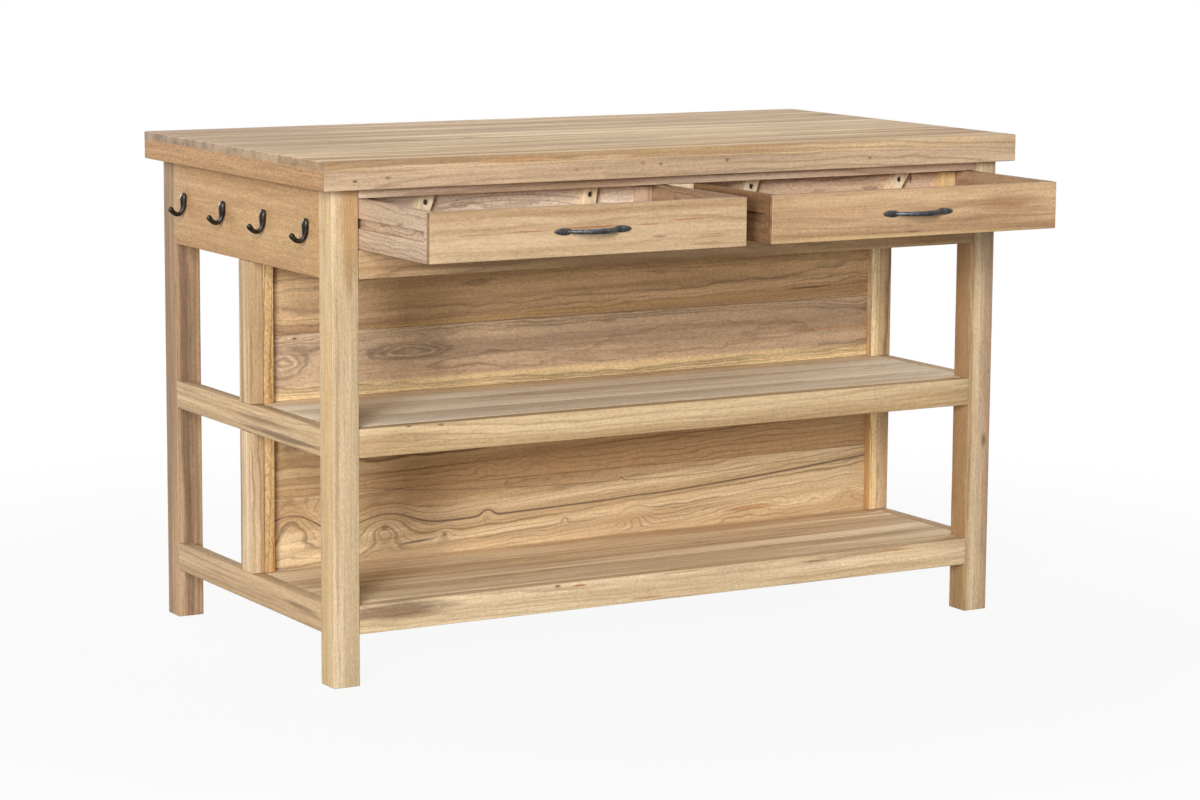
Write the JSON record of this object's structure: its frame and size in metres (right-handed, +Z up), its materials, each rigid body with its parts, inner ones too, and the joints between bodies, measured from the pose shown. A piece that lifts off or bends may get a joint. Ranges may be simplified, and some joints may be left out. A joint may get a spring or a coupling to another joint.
{
  "type": "kitchen island",
  "caption": "Free-standing wooden kitchen island with a plank worktop, open shelves against a middle panel, sliding drawers under the top and coat hooks on one end.",
  "frame": {"origin": "on the floor, under the middle of the worktop", "axes": "+Z up, +X along the length away from the hooks, -Y the side that the drawers open on"},
  "size_m": [1.4287, 1.0138, 0.9],
  "materials": {
    "teak_top": "raw, sanded",
    "teak_frame": "raw, sanded",
    "teak_panel": "raw, sanded",
    "teak_shelves": "raw, sanded",
    "teak_drawer_fronts": "raw, sanded",
    "teak_drawer_boxes": "raw, sanded",
    "teak_stops": "raw, sanded",
    "pewter_iron": "satin, aged",
    "black_iron": "satin, forged",
    "steel_screws": "dull"
  },
  "bodies": {
    "island": {"apron_left": "teak_frame", "apron_rear": "teak_frame", "apron_right": "teak_frame", "centre_bearer": "teak_frame", "drawer_muntin": "teak_frame", "drawer_runners": "teak_frame", "front_lower_rail": "teak_frame", "front_top_rail": "teak_frame", "hook_1": "black_iron", "hook_2": "black_iron", "hook_3": "black_iron", "hook_4": "black_iron", "hook_screws": "steel_screws", "leg_front_left": "teak_frame", "leg_front_right": "teak_frame", "leg_rear_left": "teak_frame", "leg_rear_right": "teak_frame", "panel_cleats": "teak_panel", "panel_lower": "teak_panel", "panel_upper": "teak_panel", "posts": "teak_frame", "shelf_bearers": "teak_frame", "shelf_planks_low": "teak_shelves", "shelf_planks_mid": "teak_shelves", "shelf_rail_low": "teak_frame", "shelf_rail_mid": "teak_frame", "side_rail_low_left": "teak_frame", "side_rail_low_right": "teak_frame", "side_rail_mid_left": "teak_frame", "side_rail_mid_right": "teak_frame", "top_batten": "teak_top", "top_edge_front": "teak_top", "top_edge_left": "teak_top", "top_edge_rear": "teak_top", "top_edge_right": "teak_top", "top_plank_1": "teak_top", "top_plank_2": "teak_top", "top_plank_3": "teak_top", "top_plank_4": "teak_top", "top_plank_5": "teak_top"},
    "drawer_left": {"drawer_left_back": "teak_drawer_boxes", "drawer_left_bottom": "teak_drawer_boxes", "drawer_left_corner_blocks": "teak_drawer_boxes", "drawer_left_front": "teak_drawer_fronts", "drawer_left_pull": "pewter_iron", "drawer_left_screws": "steel_screws", "drawer_left_side_left": "teak_drawer_boxes", "drawer_left_side_right": "teak_drawer_boxes"},
    "drawer_left_stop_left": {"drawer_left_stop_left": "teak_stops"},
    "drawer_left_stop_right": {"drawer_left_stop_right": "teak_stops"},
    "drawer_right": {"drawer_right_back": "teak_drawer_boxes", "drawer_right_bottom": "teak_drawer_boxes", "drawer_right_corner_blocks": "teak_drawer_boxes", "drawer_right_front": "teak_drawer_fronts", "drawer_right_pull": "pewter_iron", "drawer_right_screws": "steel_screws", "drawer_right_side_left": "teak_drawer_boxes", "drawer_right_side_right": "teak_drawer_boxes"},
    "drawer_right_stop_left": {"drawer_right_stop_left": "teak_stops"},
    "drawer_right_stop_right": {"drawer_right_stop_right": "teak_stops"}
  },
  "joints": [
    {"name": "drawer_left_slide", "type": "slide", "parent": "island", "child": "drawer_left", "axis": [0, -1, 0], "range_m": [-0.255, 0.0045]},
    {"name": "drawer_left_stop_left_turn", "type": "hinge", "parent": "drawer_left", "child": "drawer_left_stop_left", "pos_m": [-0.491, -0.3073, 0.8196], "axis": [0, 1, 0], "range_deg": [-110, 70]},
    {"name": "drawer_left_stop_right_turn", "type": "hinge", "parent": "drawer_left", "child": "drawer_left_stop_right", "pos_m": [-0.168, -0.3073, 0.8196], "axis": [0, 1, 0], "range_deg": [-98, 82]},
    {"name": "drawer_right_slide", "type": "slide", "parent": "island", "child": "drawer_right", "axis": [0, -1, 0], "range_m": [-0.251, 0.0085]},
    {"name": "drawer_right_stop_left_turn", "type": "hinge", "parent": "drawer_right", "child": "drawer_right_stop_left", "pos_m": [0.168, -0.3033, 0.8196], "axis": [0, 1, 0], "range_deg": [-110, 70]},
    {"name": "drawer_right_stop_right_turn", "type": "hinge", "parent": "drawer_right", "child": "drawer_right_stop_right", "pos_m": [0.491, -0.3033, 0.8196], "axis": [0, 1, 0], "range_deg": [-122, 58]}
  ]
}
